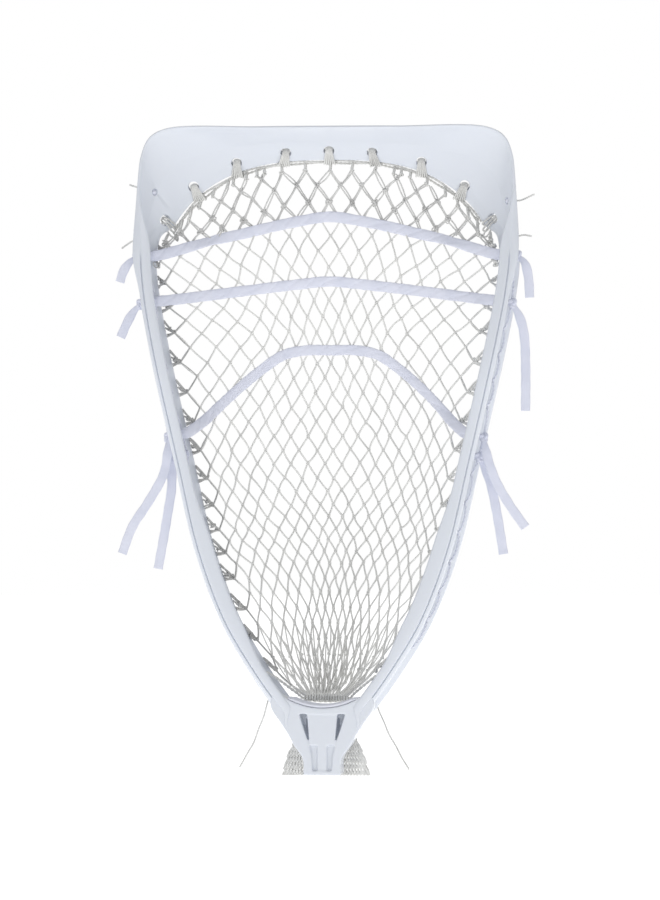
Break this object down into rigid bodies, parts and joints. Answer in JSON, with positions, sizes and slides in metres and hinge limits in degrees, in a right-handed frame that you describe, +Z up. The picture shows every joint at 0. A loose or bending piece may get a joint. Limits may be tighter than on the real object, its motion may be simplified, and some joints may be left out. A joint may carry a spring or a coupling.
{
  "type": "lacrosse goalkeeper head",
  "caption": "Strung lacrosse goalkeeper's head: a wide moulded frame with a scoop and shaft socket, a deep mesh pocket, shooting strings and loose lace ends.",
  "frame": {"origin": "centre of the shaft socket's mouth, at the bottom of the neck", "axes": "+Z up the shaft axis to the scoop, the open face looks towards -Y, the pocket hangs towards +Y, +X is the right side seen from the face"},
  "size_m": [0.3323, 0.113, 0.5106],
  "materials": {
    "head_plastic": "white moulded nylon with a faint blue cast, glossy on the scoop",
    "foam": "thin white closed-cell foam pad",
    "mesh": "knotted off-white nylon mesh",
    "cord": "braided off-white nylon cord",
    "lace": "flat woven white lace, twisted as it is laced through the mesh"
  },
  "bodies": {
    "head": {"head_frame": "head_plastic", "ball_stop": "foam", "mesh_pocket": "mesh", "top_string": "cord", "sidewall_string_left": "cord", "sidewall_string_right": "cord", "bottom_string": "cord", "shooting_string_top": "lace", "shooting_string_middle": "lace", "shooting_string_lower": "lace"},
    "mesh_tail": {"mesh_tail": "mesh"},
    "top_lace_tail_left": {"top_lace_tail_left": "lace"},
    "top_lace_tail_right": {"top_lace_tail_right": "lace"},
    "middle_lace_tail_left": {"middle_lace_tail_left": "lace"},
    "middle_lace_tail_right": {"middle_lace_tail_right": "lace"},
    "lower_lace_tail_left_outer": {"lower_lace_tail_left_outer": "lace"},
    "lower_lace_tail_left_inner": {"lower_lace_tail_left_inner": "lace"},
    "lower_lace_tail_right_outer": {"lower_lace_tail_right_outer": "lace"},
    "lower_lace_tail_right_inner": {"lower_lace_tail_right_inner": "lace"},
    "scoop_cord_tail_left": {"scoop_cord_tail_left": "cord"},
    "scoop_cord_tail_right": {"scoop_cord_tail_right": "cord"},
    "corner_cord_tail_left": {"corner_cord_tail_left": "cord"},
    "corner_cord_tail_right": {"corner_cord_tail_right": "cord"},
    "bottom_cord_tail_left": {"bottom_cord_tail_left": "cord"},
    "bottom_cord_tail_right": {"bottom_cord_tail_right": "cord"}
  },
  "joints": [
    {"name": "mesh_tail_lift", "type": "hinge", "parent": "head", "child": "mesh_tail", "pos_m": [0, 0.0185, 0.054], "axis": [1, 0, 0], "range_deg": [0, 75], "stiffness_Nm_per_rad": 0.01},
    {"name": "top_lace_tail_left_swing", "type": "hinge", "parent": "head", "child": "top_lace_tail_left", "pos_m": [-0.14974, 0.02145, 0.40456], "axis": [0, 1, 0], "range_deg": [-15, 45], "stiffness_Nm_per_rad": 0.002},
    {"name": "top_lace_tail_right_swing", "type": "hinge", "parent": "head", "child": "top_lace_tail_right", "pos_m": [0.14974, 0.02145, 0.40456], "axis": [0, -1, 0], "range_deg": [-12, 60], "stiffness_Nm_per_rad": 0.002},
    {"name": "middle_lace_tail_left_swing", "type": "hinge", "parent": "head", "child": "middle_lace_tail_left", "pos_m": [-0.14613, 0.01794, 0.36729], "axis": [0, 1, 0], "range_deg": [-20, 45], "stiffness_Nm_per_rad": 0.002},
    {"name": "middle_lace_tail_right_swing", "type": "hinge", "parent": "head", "child": "middle_lace_tail_right", "pos_m": [0.14613, 0.01794, 0.36729], "axis": [0, -1, 0], "range_deg": [-15, 35], "stiffness_Nm_per_rad": 0.002},
    {"name": "lower_lace_tail_left_outer_swing", "type": "hinge", "parent": "head", "child": "lower_lace_tail_left_outer", "pos_m": [-0.1239, 0.015, 0.26238], "axis": [0, 1, 0], "range_deg": [-4, 55], "stiffness_Nm_per_rad": 0.002},
    {"name": "lower_lace_tail_left_inner_swing", "type": "hinge", "parent": "head", "child": "lower_lace_tail_left_inner", "pos_m": [-0.12043, 0.015, 0.24738], "axis": [0, 1, 0], "range_deg": [-3, 60], "stiffness_Nm_per_rad": 0.002},
    {"name": "lower_lace_tail_right_outer_swing", "type": "hinge", "parent": "head", "child": "lower_lace_tail_right_outer", "pos_m": [0.1239, 0.015, 0.26238], "axis": [0, -1, 0], "range_deg": [-15, 55], "stiffness_Nm_per_rad": 0.002},
    {"name": "lower_lace_tail_right_inner_swing", "type": "hinge", "parent": "head", "child": "lower_lace_tail_right_inner", "pos_m": [0.12043, 0.015, 0.24738], "axis": [0, -1, 0], "range_deg": [-8, 60], "stiffness_Nm_per_rad": 0.002},
    {"name": "scoop_cord_tail_left_swing", "type": "hinge", "parent": "head", "child": "scoop_cord_tail_left", "pos_m": [-0.14099, 0.03616, 0.45655], "axis": [0, 1, 0], "range_deg": [-30, 30], "stiffness_Nm_per_rad": 0.002},
    {"name": "scoop_cord_tail_right_swing", "type": "hinge", "parent": "head", "child": "scoop_cord_tail_right", "pos_m": [0.14628, 0.03117, 0.44824], "axis": [0, -1, 0], "range_deg": [-25, 40], "stiffness_Nm_per_rad": 0.002},
    {"name": "corner_cord_tail_left_swing", "type": "hinge", "parent": "head", "child": "corner_cord_tail_left", "pos_m": [-0.149, 0.01814, 0.41844], "axis": [0, 1, 0], "range_deg": [-25, 40], "stiffness_Nm_per_rad": 0.002},
    {"name": "corner_cord_tail_right_swing", "type": "hinge", "parent": "head", "child": "corner_cord_tail_right", "pos_m": [0.149, 0.01814, 0.41844], "axis": [0, -1, 0], "range_deg": [-30, 40], "stiffness_Nm_per_rad": 0.002},
    {"name": "bottom_cord_tail_left_swing", "type": "hinge", "parent": "head", "child": "bottom_cord_tail_left", "pos_m": [-0.04394, 0.01969, 0.06892], "axis": [0, 1, 0], "range_deg": [-6, 50], "stiffness_Nm_per_rad": 0.002},
    {"name": "bottom_cord_tail_right_swing", "type": "hinge", "parent": "head", "child": "bottom_cord_tail_right", "pos_m": [0.04115, 0.0193, 0.065], "axis": [0, -1, 0], "range_deg": [-8, 50], "stiffness_Nm_per_rad": 0.002}
  ]
}
